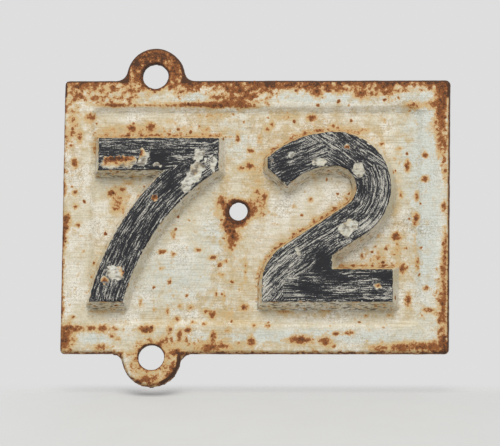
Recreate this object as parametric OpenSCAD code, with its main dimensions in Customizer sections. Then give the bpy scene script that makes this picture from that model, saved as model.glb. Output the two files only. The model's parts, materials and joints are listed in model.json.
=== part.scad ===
// Cast iron railway mile marker: a lugged plate with a sunk panel and two raised numerals.
// Every piece is drawn lying on its back, with X to the right, Y up the plate, Z out of its
// front and the origin at the middle of the back face. It is then stood upright, so that the
// front faces -Y and the centre hole's back end is on the origin.

/* [Plate] */
// Width of the plate over its back edges
plate_w = 305; // [290:1:380]
// Height of the plate over its back edges, without the lugs
plate_h = 220; // [205:1:280]
// Thickness of the raised rim and of the lugs
rim_t = 8; // [6:0.5:14]
// Width of the rim, from the back edge to the top of the sloping step
rim_w = 21; // [15:0.5:25]
// Depth of the sunk panel below the rim
recess_d = 3; // [1:0.25:4.5]
// Width of the sloping step between rim and panel
step_run = 6.5; // [3:0.5:8]
// Radius of the plate's corners at the back edge
corner_r = 4; // [4:0.5:12]
// Radius of the sunk panel's corners at the top of the step
recess_r = 10; // [9:0.5:20]
// How far the side walls lean in, as the draft that lets the pattern out of the sand
edge_lean = 0.8; // [0.2:0.1:1.2]
// Radius that rounds the front edge of the plate and the lugs
arris_r = 2.4; // [1:0.1:2.6]

/* [Lugs] */
// Outer radius of the bolt lugs
lug_r = 23.5; // [18:0.1:30]
// Diameter of the bolt hole in each lug
lug_hole_d = 20; // [10:0.5:24]
// Distance of the lug centres outside the plate's top and bottom edges
lug_out = 2.7; // [0:0.1:12]
// Distance of the lug centres to the left of the plate's middle
lug_left = 80.3; // [60:0.1:100]
// Radius of the hollow fillets where a lug runs into the plate
lug_fillet_r = 8; // [4:0.5:12]

/* [Centre hole] */
// Diameter of the hole through the panel
centre_hole_d = 14; // [6:0.5:16]
// Distance of the hole to the left of the plate's middle
centre_hole_left = 13.7; // [8:0.1:20]
// Distance of the hole above the plate's middle
centre_hole_up = 4.3; // [-10:0.1:15]

/* [Numerals] */
// Height of the numerals' faces above the panel
relief = 11.5; // [6:0.5:16]
// How far the numerals' sides lean out from face to foot
draft_run = 4.2; // [2:0.1:5]
// Radius of the fillet at the foot of the numerals
foot_fillet_r = 2.5; // [1:0.1:4]
// Distance of the numerals' feet below the plate's middle
baseline_down = 70.3; // [66:0.1:72]

/* [Numeral 7] */
// Distance of the arm's left end to the left of the plate's middle
seven_left = 123.3; // [120:0.1:125]
// Width of the arm on its face
seven_arm_w = 94.5; // [90:0.5:98]
// Height of the 7 on its face
seven_h = 130.8; // [115:0.1:136]
// Height of the arm's stroke
seven_arm_h = 25.5; // [18:0.5:30]
// Width of the curved leg's stroke
seven_leg_w = 26; // [18:0.5:30]
// Radius of the leg's hollow side
seven_leg_r = 173; // [140:1:260]
// Distance from the arm's right end back to the leg's foot
seven_foot_back = 73.5; // [66:0.5:76]

/* [Numeral 2] */
// Distance of the 2's left side to the right of the plate's middle
two_right = 6.4; // [4:0.1:9]
// Height of the 2 on its face
two_h = 135.5; // [128:0.1:140]
// Width of the curved and slanting stroke
two_stroke_w = 27; // [20:0.5:30]
// Distance from the 2's left side to the middle of its bowl
two_bowl_x = 55.6; // [52:0.1:58]
// Outer radius of the bowl
two_bowl_r = 44.4; // [42:0.1:47]
// How much wider the terminal's arc is than the bowl's
two_sweep = 33; // [20:0.5:45]
// Angle round that arc at which the terminal is cut off
two_end_angle = 137; // [128:0.5:140]
// Distance from the 2's left side to the upright cut on the terminal
two_end_x = 3.2; // [1:0.1:8]
// Slope of the slanting stroke
two_slope = 33.5; // [30:0.5:37]
// Radius of the shoulder at the lower left
two_shoulder_r = 35; // [32:0.5:38]
// Height of the foot bar
two_bar_h = 25.7; // [20:0.1:28]
// Length of the foot bar
two_bar_w = 102; // [90:0.5:106]
// Height of the blunt throat between the bar and the slant
two_throat_h = 11.3; // [9:0.1:16]

/* [Paint] */
// Thickness of the black paint on the numerals' faces
film_t = 0.3; // [0.2:0.05:0.6]
// Margin between the paint and the edge of a face
film_margin = 0.3; // [0.1:0.1:1]

/* [Hidden] */
$fn = 96;

white_paint = "#DAD7C8";
black_paint = "#24252B";

panel_z = rim_t - recess_d;
face_z = panel_z + relief;
foot_y = -baseline_down;
lug_y = plate_h / 2 + lug_out;
// Longer than anything here, for cuts that pass right through
reach = 2 * (plate_w + plate_h);
// How far a cutter stands clear of the faces that it cuts
clear = 1;

arris_steps = 6;
step_steps = 8;
fillet_steps = 4;
// Angle between the points on a numeral's arcs
facet_angle = 3;
// The foot fillet would meet the panel this far below it, so its toe ends blunt
toe_drop = 0.15;

function direction(a) = [cos(a), sin(a)];
// Points on an arc round a centre, in steps of equal angle
function arc(centre, r, a0, a1, steps) = [
    for (i = [0 : steps])
        centre + r * direction(a0 + (a1 - a0) * i / steps)
];
// The same arc with a numeral's facets, and without its first point where it carries on a line
function facets(centre, r, a0, a1) = arc(centre, r, a0, a1, ceil(abs(a1 - a0) / facet_angle));
function carried_on(points) = [for (i = [1 : len(points) - 1]) points[i]];
// Where the left side of a circle is at a height, as an angle
function angle_at(centre, r, y) = 180 - asin((y - centre.y) / r);

// An edge is a list of [distance out, height], from the back or foot up to the front.
function moved_out(edge, r) = [for (p = edge) [r + p.x, p.y]];
function mirrored_back(edge) = [for (i = [len(edge) - 1 : -1 : 0]) [-edge[i].x, edge[i].y]];

// Cast edge of the plate and lugs: a leaning wall, then the rounded arris
cast_inset = edge_lean + arris_r;
cast_edge = concat([[0, 0]], arc([-cast_inset, rim_t - arris_r], arris_r, 0, 90, arris_steps));

// The same edge round a hollow fillet, as the outline of its cutter
hollow_edge = concat(
    [[0, -clear]],
    [for (p = cast_edge) [-p.x, p.y]],
    [[cast_inset, rim_t + clear]]
);

// S-shaped slope from the panel up to the rim, as the outline of its cutter
step_edge = concat(
    [
        for (i = [0 : step_steps])
            let (t = i / step_steps)
            [step_run * (t - 1), panel_z + recess_d * (1 - cos(180 * t)) / 2]
    ],
    [[0, rim_t + clear]]
);

// Side of a numeral: blunt toe, foot fillet, then the draft up to the face and on past it
draft_angle = atan(draft_run / relief);
fillet_x = draft_run
    + (foot_fillet_r - sin(draft_angle) * (foot_fillet_r - toe_drop)) / cos(draft_angle);
fillet_z = panel_z - toe_drop + foot_fillet_r;
toe_angle = 180 + asin(1 - toe_drop / foot_fillet_r);
fillet_arc = arc([fillet_x, fillet_z], foot_fillet_r, toe_angle, 180 + draft_angle, fillet_steps);
numeral_edge = concat(
    [[fillet_arc[0].x, panel_z - clear]],
    fillet_arc,
    [[-clear * draft_run / relief, face_z + clear]]
);

// Outline of the 7's face, anticlockwise from the arm's top left corner
seven_right = seven_arm_w - seven_left;
seven_top = foot_y + seven_h;
seven_under = seven_top - seven_arm_h;
// The leg's hollow side runs from the arm's lower right corner to the foot
leg_chord = [seven_foot_back, seven_under - foot_y];
leg_rise = sqrt(pow(seven_leg_r, 2) - leg_chord * leg_chord / 4);
leg_centre = [seven_right, seven_under] - leg_chord / 2
    + [leg_chord.y, -leg_chord.x] / norm(leg_chord) * leg_rise;
leg_outer_r = seven_leg_r + seven_leg_w;
seven_outline = concat(
    [[-seven_left, seven_top], [-seven_left, seven_under]],
    facets(
        leg_centre,
        leg_outer_r,
        angle_at(leg_centre, leg_outer_r, seven_under),
        angle_at(leg_centre, leg_outer_r, foot_y)
    ),
    facets(
        leg_centre,
        seven_leg_r,
        angle_at(leg_centre, seven_leg_r, foot_y),
        angle_at(leg_centre, seven_leg_r, seven_under)
    ),
    [[seven_right, seven_top]]
);

// Outline of the 2's face, anticlockwise from the foot's left corner
bowl = [two_right + two_bowl_x, foot_y + two_h - two_bowl_r];
terminal = bowl - [0, two_sweep];
terminal_r = two_bowl_r + two_sweep;
terminal_x = two_right + two_end_x;
terminal_reach = (terminal_x - terminal.x) / cos(two_end_angle);
// The slant's upper side is tangent to the bowl's inside and to the shoulder
slant_up = direction(two_slope + 90);
upper_side = slant_up * bowl - (two_bowl_r - two_stroke_w);
lower_side = upper_side - two_stroke_w;
shoulder_x = two_right + two_shoulder_r;
shoulder = [shoulder_x, (upper_side - two_shoulder_r - slant_up.x * shoulder_x) / slant_up.y];
bar_right = two_right + two_bar_w;
bar_top = foot_y + two_bar_h;
throat_top = bar_top + two_throat_h;
throat_x = (lower_side - slant_up.y * throat_top) / slant_up.x;
two_outline = concat(
    [
        [two_right, foot_y],
        [bar_right, foot_y],
        [bar_right, bar_top],
        [throat_x, bar_top],
        [throat_x, throat_top]
    ],
    facets(bowl, two_bowl_r, two_slope - 90, 90),
    carried_on(facets(terminal, terminal_r, 90, acos((terminal_x - terminal.x) / terminal_r))),
    [terminal + terminal_reach * direction(two_end_angle)],
    facets(terminal, terminal_r - two_stroke_w, two_end_angle, 90),
    carried_on(facets(bowl, two_bowl_r - two_stroke_w, 90, two_slope - 90)),
    facets(shoulder, two_shoulder_r, two_slope + 90, 180)
);

// A closed outline moved out sideways, with mitred corners
function side_normal(a, b) = [b.y - a.y, a.x - b.x] / norm(b - a);
function spread(outline, distance) = [
    for (i = [0 : len(outline) - 1])
        let (
            before = outline[(i + len(outline) - 1) % len(outline)],
            here = outline[i],
            after = outline[(i + 1) % len(outline)],
            n0 = side_normal(before, here),
            n1 = side_normal(here, after)
        )
        here + distance * (n0 + n1) / (1 + n0 * n1)
];

// Solid that fills an outline and whose sides follow an edge
module cast_shape(outline, edge) {
    count = len(outline);
    points = [for (level = edge, p = spread(outline, level.x)) [p.x, p.y, level.y]];
    sides = [
        for (ring = [0 : len(edge) - 2], i = [0 : count - 1])
            let (
                a = ring * count + i,
                b = ring * count + (i + 1) % count
            )
            [a, a + count, b + count, b]
    ];
    foot = [for (i = [0 : count - 1]) i];
    face = [for (i = [count - 1 : -1 : 0]) (len(edge) - 1) * count + i];
    polyhedron(points, concat([foot], sides, [face]), convexity = 4);
}

// A bar whose two sides follow an edge, set half_w from its middle, along X or along Y
module bar_along_x(length, half_w, edge) {
    rotate([90, 0, 90])
        linear_extrude(length, center = true)
            two_sided(half_w, edge);
}
module bar_along_y(length, half_w, edge) {
    rotate([90, 0, 0])
        linear_extrude(length, center = true)
            two_sided(half_w, edge);
}
module two_sided(half_w, edge) {
    side = moved_out(edge, half_w);
    polygon(concat(side, mirrored_back(side)));
}

// A disc of radius r whose rim follows an edge
module disc(r, edge) {
    side = moved_out(edge, r);
    rotate_extrude()
        polygon(concat([[0, side[0].y]], side, [[0, side[len(side) - 1].y]]));
}

// A rectangle with round corners whose border follows an edge
module rounded_slab(w, h, r, edge) {
    bar_along_x(w - 2 * r, h / 2, edge);
    bar_along_y(h - 2 * r, w / 2, edge);
    for (x = [r - w / 2, w / 2 - r], y = [r - h / 2, h / 2 - r])
        translate([x, y, 0])
            disc(r, edge);
}

// Lug centred on the origin, with the plate below it
module lug() {
    fillet_side = sqrt(pow(lug_r + lug_fillet_r, 2) - pow(lug_fillet_r - lug_out, 2));
    fillet_y = lug_fillet_r - lug_out;
    root_y = -lug_out - rim_w / 2;
    disc(lug_r, cast_edge);
    difference() {
        linear_extrude(rim_t)
            polygon([
                [0, 0],
                [-fillet_side, fillet_y],
                [-fillet_side, root_y],
                [fillet_side, root_y],
                [fillet_side, fillet_y]
            ]);
        for (x = [-fillet_side, fillet_side])
            translate([x, fillet_y, 0])
                disc(lug_fillet_r, hollow_edge);
    }
}

module drilled(x, y, d) {
    translate([x, y, -clear])
        cylinder(d = d, h = rim_t + 2 * clear);
}

module panel_void() {
    rounded_slab(plate_w - 2 * rim_w, plate_h - 2 * rim_w, recess_r, step_edge);
}

// All the space between the plate's front and the plane of the numerals' faces
module relief_space() {
    panel_void();
    translate([-reach / 2, -reach / 2, rim_t])
        cube([reach, reach, face_z - rim_t]);
}

// Patches where the black paint has flaked away: [x, y, radius, length, angle] from a corner

// On the 7's arm, from the corner between its right end and the leg
arm_chips = [
    [-88.2, 6.4, 4.5, 19.3, 0],
    [-59.6, 6.8, 3.6, 5.5, 80],
    [-49.5, 3.9, 1.9, 1.4, 0],
    [-16.5, 9.5, 3.5, 4, 75],
    [-19.6, -4.7, 5.6, 6.5, 62],
    [-26.4, -13.6, 3.8, 5, 52],
    [-4.2, 2.5, 2.2, 4.5, 90]
];
// On the 7's leg, from the right corner of its foot
leg_chips = [[-7, 22.5, 6, 1, 0]];
// On the 2's curves, from the middle of its bowl
bowl_chips = [
    [-34.2, 23.9, 1.6, 3, 70],
    [-14.7, 19.9, 3, 5, 0],
    [19.3, 12.4, 4.5, 3, 90],
    [9, -34.5, 5, 6, 40],
    [-28.7, -51.6, 2, 1, 0]
];
// On the 2's foot bar, from its lower right corner
bar_chips = [[-11.1, 11.5, 2, 1, 0]];

module chips(list, corner) {
    for (c = list)
        translate([corner.x + c[0], corner.y + c[1], face_z - clear])
            rotate([0, 0, c[4]]) {
                cylinder(r = c[2], h = film_t + 2 * clear);
                translate([c[3], 0, 0])
                    cylinder(r = c[2], h = film_t + 2 * clear);
                translate([0, -c[2], 0])
                    cube([c[3], 2 * c[2], film_t + 2 * clear]);
            }
}

// Black paint on a face
module film(outline) {
    translate([0, 0, face_z])
        linear_extrude(film_t)
            polygon(spread(outline, -film_margin));
}

// Sub-parts, each with its back on Z = 0 of the drawing

module stood_upright() {
    rotate([90, 0, 0])
        translate([centre_hole_left, -centre_hole_up, 0])
            children();
}

module backplate() {
    color(white_paint)
        stood_upright()
            difference() {
                union() {
                    rounded_slab(plate_w, plate_h, corner_r, cast_edge);
                    translate([-lug_left, lug_y, 0])
                        lug();
                    translate([-lug_left, -lug_y, 0])
                        mirror([0, 1, 0])
                            lug();
                }
                panel_void();
                drilled(-lug_left, lug_y, lug_hole_d);
                drilled(-lug_left, -lug_y, lug_hole_d);
                drilled(-centre_hole_left, centre_hole_up, centre_hole_d);
            }
}

module numeral_7() {
    color(white_paint)
        stood_upright()
            intersection() {
                cast_shape(seven_outline, numeral_edge);
                relief_space();
            }
}

module numeral_2() {
    color(white_paint)
        stood_upright()
            intersection() {
                cast_shape(two_outline, numeral_edge);
                relief_space();
            }
}

module numeral_7_face_paint() {
    color(black_paint)
        stood_upright()
            difference() {
                film(seven_outline);
                chips(arm_chips, [seven_right, seven_under]);
                chips(leg_chips, [seven_right - seven_foot_back, foot_y]);
            }
}

module numeral_2_face_paint() {
    color(black_paint)
        stood_upright()
            difference() {
                film(two_outline);
                chips(bowl_chips, bowl);
                chips(bar_chips, [bar_right, foot_y]);
            }
}

backplate();
numeral_7();
numeral_2();
numeral_7_face_paint();
numeral_2_face_paint();
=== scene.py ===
import json
import math
from functools import partial

import bmesh
import bpy
import numpy as np
from mathutils import Matrix, Vector, noise


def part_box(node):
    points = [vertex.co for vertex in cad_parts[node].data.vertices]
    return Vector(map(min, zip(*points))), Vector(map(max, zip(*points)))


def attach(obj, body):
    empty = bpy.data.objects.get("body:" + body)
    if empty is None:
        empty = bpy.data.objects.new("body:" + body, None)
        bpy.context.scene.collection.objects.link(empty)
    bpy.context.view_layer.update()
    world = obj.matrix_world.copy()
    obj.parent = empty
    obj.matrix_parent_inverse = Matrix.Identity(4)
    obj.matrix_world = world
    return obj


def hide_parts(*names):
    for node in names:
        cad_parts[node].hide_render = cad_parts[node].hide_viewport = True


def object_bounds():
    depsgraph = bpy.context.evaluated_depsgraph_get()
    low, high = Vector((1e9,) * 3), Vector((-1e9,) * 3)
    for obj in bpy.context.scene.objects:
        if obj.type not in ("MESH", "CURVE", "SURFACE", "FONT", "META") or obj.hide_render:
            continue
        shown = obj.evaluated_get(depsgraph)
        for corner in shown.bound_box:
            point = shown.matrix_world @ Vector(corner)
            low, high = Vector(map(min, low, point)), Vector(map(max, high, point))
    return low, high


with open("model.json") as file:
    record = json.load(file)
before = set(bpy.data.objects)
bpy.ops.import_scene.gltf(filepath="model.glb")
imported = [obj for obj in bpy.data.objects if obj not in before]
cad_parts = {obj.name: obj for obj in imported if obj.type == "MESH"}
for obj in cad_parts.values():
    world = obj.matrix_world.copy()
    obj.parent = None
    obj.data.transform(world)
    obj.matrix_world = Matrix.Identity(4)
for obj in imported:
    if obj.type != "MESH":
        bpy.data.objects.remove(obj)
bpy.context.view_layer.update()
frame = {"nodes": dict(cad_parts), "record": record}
scene = bpy.context.scene

# Places on the plate are in mm right of and above its middle, worked out from the frame
lowest, highest = (corner * 1000 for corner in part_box("backplate"))
plateMiddle = (round((lowest.x + highest.x) / 2, 2), round((lowest.z + highest.z) / 2, 2))
plateHalf = (round((highest.x - lowest.x) / 2, 2), 110.0)  # the lugs stand out above and below
lugRadius = 23.5


def linearColour(code):
    # from an sRGB hex value to the linear colour that the nodes work in
    parts = [int(code[start:start + 2], 16) / 255 for start in (1, 3, 5)]
    linear = [part / 12.92 if part <= 0.04045 else ((part + 0.055) / 1.055) ** 2.4 for part in parts]
    return (*linear, 1.0)


def addNode(tree, kind, inputs=None, take=0, **settings):
    # kinds without Node in their name are shader nodes, and take is the output that is handed on
    node = tree.nodes.new(kind if "Node" in kind else "ShaderNode" + kind)
    for key, value in settings.items():
        setattr(node, key, value)
    for key, value in (inputs or {}).items():
        if isinstance(value, bpy.types.NodeSocket):
            tree.links.new(value, node.inputs[key])
        else:
            node.inputs[key].default_value = value
    return node.outputs[take] if len(node.outputs) else node


def setModifierInput(modifier, label, value):
    for item in modifier.node_group.interface.items_tree:
        if item.item_type == "SOCKET" and item.in_out == "INPUT" and item.name == label:
            modifier[item.identifier] = value
            return
    raise KeyError(label)


def newGeometryTree(name, sizes):
    tree = bpy.data.node_groups.new(name, "GeometryNodeTree")
    tree.interface.new_socket("Geometry", in_out="OUTPUT", socket_type="NodeSocketGeometry")
    tree.interface.new_socket("Geometry", in_out="INPUT", socket_type="NodeSocketGeometry")
    for label, kind, value in sizes:
        socket = tree.interface.new_socket(label, in_out="INPUT", socket_type=kind)
        if value is not None:
            socket.default_value = value
    return tree


def startMaterial(name, clouds):
    # an empty material with its noise patterns by name: size in mm, detail, roughness, distortion
    material = bpy.data.materials.new(name)
    material.use_nodes = True
    tree = material.node_tree
    tree.nodes.clear()
    add = partial(addNode, tree)
    spot = add("TexCoord", take="Object")
    cloud = {}
    for key, (size, detail, roughness, distortion) in clouds.items():
        cloud[key] = add("TexNoise", {
            "Vector": spot, "Scale": 1000 / size, "Detail": detail, "Roughness": roughness,
            "Distortion": distortion})
    return material, add, spot, cloud


def weightedSum(add, *parts, plus=0.0):
    # a chain of additions: each part is a pattern and how much it counts
    total = plus
    for pattern, weight in parts:
        total = add("Math", {0: pattern, 1: weight, 2: total}, operation="MULTIPLY_ADD")
    return total


def layCoat(add, under, pattern, coat, ramp="SMOOTHSTEP", blend="MIX"):
    # a coat is its colour, the pattern's values where it starts and where it is full, and its share there
    over, start, full, most = coat
    over = linearColour(over) if isinstance(over, str) else over
    share = {0: pattern, 1: start, 2: full, 4: most}
    share = add("MapRange", share, interpolation_type=ramp)
    both = {0: share, 6: under, 7: over}
    return add("Mix", both, take=2, data_type="RGBA", blend_type=blend), share


def settledMesh(piece, name):
    graph = bpy.context.evaluated_depsgraph_get()
    settled = piece.evaluated_get(graph)
    mesh = bpy.data.meshes.new_from_object(settled, preserve_all_data_layers=True, depsgraph=graph)
    mesh.name = name
    piece.modifiers.clear()
    piece.data = mesh
    return mesh


def plateMm(mesh):
    points = np.zeros(len(mesh.vertices) * 3)
    mesh.vertices.foreach_get("co", points)
    points = points.reshape(-1, 3) * 1000
    return np.stack([points[:, 0] - plateMiddle[0], points[:, 2] - plateMiddle[1], -points[:, 1]], 1)


def fromPlate(x, z, height):
    return ((x + plateMiddle[0]) / 1000, -height / 1000, (z + plateMiddle[1]) / 1000)


def writeFields(mesh, fields):
    for name, values in fields.items():
        field = mesh.attributes.get(name) or mesh.attributes.new(name, "FLOAT", "POINT")
        field.data.foreach_set("value", np.asarray(values, np.float32))


# Casting: the three iron nodes as one skin each, with sand texture
castIron = {
    "plateVoxelMm": 1.3, "numeralVoxelMm": 0.8,
    "bedMm": 1.2,  # how far a numeral's foot is carried into the plate
    "lumpDepthMm": 0.32, "lumpSizeMm": 13.0, "grainDepthMm": 0.14, "grainSizeMm": 2.6,
    "pitDepthMm": 0.4, "pitSizeMm": 6.5, "seed": 7.0,
}


def makeCastSkin():
    tree = newGeometryTree("castSkin", [
        ("Lump depth", "NodeSocketFloat", 0.0003), ("Lump size", "NodeSocketFloat", 0.013),
        ("Grain depth", "NodeSocketFloat", 0.0001), ("Grain size", "NodeSocketFloat", 0.0026),
        ("Pit depth", "NodeSocketFloat", 0.0004), ("Pit size", "NodeSocketFloat", 0.0065),
        ("Seed", "NodeSocketFloat", 7.0), ("Finish", "NodeSocketMaterial", None)])
    add = partial(addNode, tree)
    given = add("NodeGroupInput").node.outputs
    place = add("GeometryNodeInputPosition")
    scales = {label: add("Math", {0: 1.0, 1: given[label + " size"]}, operation="DIVIDE")
              for label in ("Lump", "Grain", "Pit")}
    heights = {}
    for label, detail in (("Lump", 2.0), ("Grain", 3.0)):
        cloud = {"Vector": place, "W": given["Seed"], "Scale": scales[label], "Detail": detail}
        cloud = add("TexNoise", cloud, noise_dimensions="4D")
        heights[label] = add("MapRange", {0: cloud, 1: 0.25, 2: 0.75})
    cells = {"Vector": place, "W": given["Seed"], "Scale": scales["Pit"]}
    cells = add("TexVoronoi", cells, voronoi_dimensions="4D").node.outputs
    hollow = {0: cells["Distance"], 1: 0.1, 2: 0.3, 3: 1.0, 4: 0.0}
    hollow = add("MapRange", hollow, interpolation_type="SMOOTHSTEP")
    shade = add("SeparateXYZ", {0: cells["Color"]})
    chosen = add("MapRange", {0: shade, 1: 0.6, 2: 1.0})
    heights["Pit"] = add("Math", {0: hollow, 1: chosen}, operation="MULTIPLY")
    total = weightedSum(add, *((height, given[label + " depth"]) for label, height in heights.items()))
    inward = add("Math", {0: total, 1: -1.0}, operation="MULTIPLY")
    normal = add("GeometryNodeInputNormal")
    offset = add("VectorMath", {0: normal, "Scale": inward}, operation="SCALE")
    moved = add("GeometryNodeSetPosition", {"Geometry": given["Geometry"], "Offset": offset})
    smooth = add("GeometryNodeSetShadeSmooth", {"Geometry": moved, "Shade Smooth": True})
    solid = add("GeometryNodeRealizeInstances", {"Geometry": smooth})
    coated = add("GeometryNodeSetMaterial", {"Geometry": solid, "Material": given["Finish"]})
    add("NodeGroupOutput", {0: coated})
    return tree


def addCastSkin(piece, tree, finish):
    skin = piece.modifiers.new("castSkin", "NODES")
    skin.node_group = tree
    for label in ("Lump", "Grain", "Pit"):
        setModifierInput(skin, label + " depth", castIron[label.lower() + "DepthMm"] / 1000)
        setModifierInput(skin, label + " size", castIron[label.lower() + "SizeMm"] / 1000)
    setModifierInput(skin, "Seed", castIron["seed"])
    setModifierInput(skin, "Finish", finish)


def mergedCopy(nodeName, pieceName, bed):
    mesh = frame["nodes"][nodeName].data.copy()
    mesh.materials.clear()
    body = bmesh.new()
    body.from_mesh(mesh)
    bmesh.ops.remove_doubles(body, verts=body.verts, dist=2e-6)
    if bed:
        for face in body.faces:
            face.tag = face.normal.y > 0.5
        for vert in body.verts:
            if any(face.tag for face in vert.link_faces):
                vert.co.y += bed
    body.to_mesh(mesh)
    body.free()
    piece = bpy.data.objects.new(pieceName, mesh)
    scene.collection.objects.link(piece)
    return piece


def keepInside(mesh, low, high):
    points = np.zeros(len(mesh.vertices) * 3)
    mesh.vertices.foreach_get("co", points)
    points = np.clip(points.reshape(-1, 3), np.array(low), np.array(high))
    mesh.vertices.foreach_set("co", points.ravel())
    mesh.update()


def makeCasting(nodeName, pieceName, voxelMm, bedMm, tree, finish):
    piece = mergedCopy(nodeName, pieceName, bedMm / 1000)
    remesh = piece.modifiers.new("evenSkin", "REMESH")
    remesh.mode, remesh.voxel_size, remesh.adaptivity = "VOXEL", voxelMm / 1000, 0.0
    addCastSkin(piece, tree, finish)
    mesh = settledMesh(piece, pieceName)
    low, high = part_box(nodeName)
    keepInside(mesh, low, (high.x, high.y + bedMm / 1000, high.z))
    print("casting", pieceName, len(mesh.polygons), "faces")
    return piece


# Outlines of the painted faces, read off the fitted paint nodes
def faceOutline(nodeName):
    body = bmesh.new()
    body.from_mesh(frame["nodes"][nodeName].data)
    bmesh.ops.remove_doubles(body, verts=body.verts, dist=2e-6)
    front = min(vert.co.y for vert in body.verts)
    middleX, middleZ = plateMiddle
    segments = []
    for edge in body.edges:
        flat = [face for face in edge.link_faces if all(abs(vert.co.y - front) < 2e-5 for vert in face.verts)]
        if len(flat) == 1:
            a, b = (vert.co * 1000 for vert in edge.verts)
            segments.append((a.x - middleX, a.z - middleZ, b.x - middleX, b.z - middleZ))
    body.free()
    return np.array(segments)


def splitOutline(segments):
    # the longest loop is the numeral's own edge, and the others are chips in the paint
    ends = {}
    for index, (ax, az, bx, bz) in enumerate(segments):
        for key in ((round(ax, 2), round(az, 2)), (round(bx, 2), round(bz, 2))):
            ends.setdefault(key, []).append(index)
    loop = -np.ones(len(segments), int)
    for first in range(len(segments)):
        waiting = [first] if loop[first] < 0 else []
        while waiting:
            index = waiting.pop()
            if loop[index] < 0:
                loop[index] = first
                ax, az, bx, bz = segments[index]
                waiting += ends[round(ax, 2), round(az, 2)] + ends[round(bx, 2), round(bz, 2)]
    longest = max(set(loop), key=lambda one: np.ptp(segments[loop == one], axis=0).sum())
    return segments[loop == longest], segments[loop != longest]


def nearestEdge(points, segments, chunk=4000):
    # how far each point is from the outline, which way it lies from it, and whether it is inside
    a, b = segments[:, :2], segments[:, 2:]
    along = b - a
    squared = (along ** 2).sum(1)
    rise = np.where(np.abs(along[:, 1]) < 1e-9, 1e-9, along[:, 1])
    gap, away, inside = np.empty(len(points)), np.empty((len(points), 2)), np.empty(len(points), bool)
    for start in range(0, len(points), chunk):
        some = slice(start, start + chunk)
        point = points[some, None, :]
        share = np.clip(((point - a) * along).sum(2) / squared, 0, 1)
        apart = point - (a + share[..., None] * along)
        distance = (apart ** 2).sum(2)
        best = distance.argmin(1)
        rows = np.arange(len(best))
        gap[some] = np.sqrt(distance[rows, best])
        away[some] = apart[rows, best] / (gap[some] + 1e-9)[:, None]
        crosses = (a[:, 1] > point[..., 1]) != (b[:, 1] > point[..., 1])
        where = a[:, 0] + (point[..., 1] - a[:, 1]) * along[:, 0] / rise
        inside[some] = (crosses & (point[..., 0] < where)).sum(1) % 2 == 1
    return gap, away, inside


def patchField(x, z, patches):
    # soft patches laid over each other, 0 where there is none and 1 where they are full
    left = np.ones(len(x))
    for middleX, middleZ, halfX, halfZ, amount in patches:
        spread = ((x - middleX) / halfX) ** 2 + ((z - middleZ) / halfZ) ** 2
        left *= 1 - amount * np.exp(-spread * 0.7)
    return 1 - left


def addedTo(field, more):
    return 1 - (1 - field) * (1 - more)


def bell(value, middle, width):
    return np.exp(-((value - middle) / width) ** 2)


def fading(distance, reach):
    return np.exp(-np.maximum(distance, 0) / reach)


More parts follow.
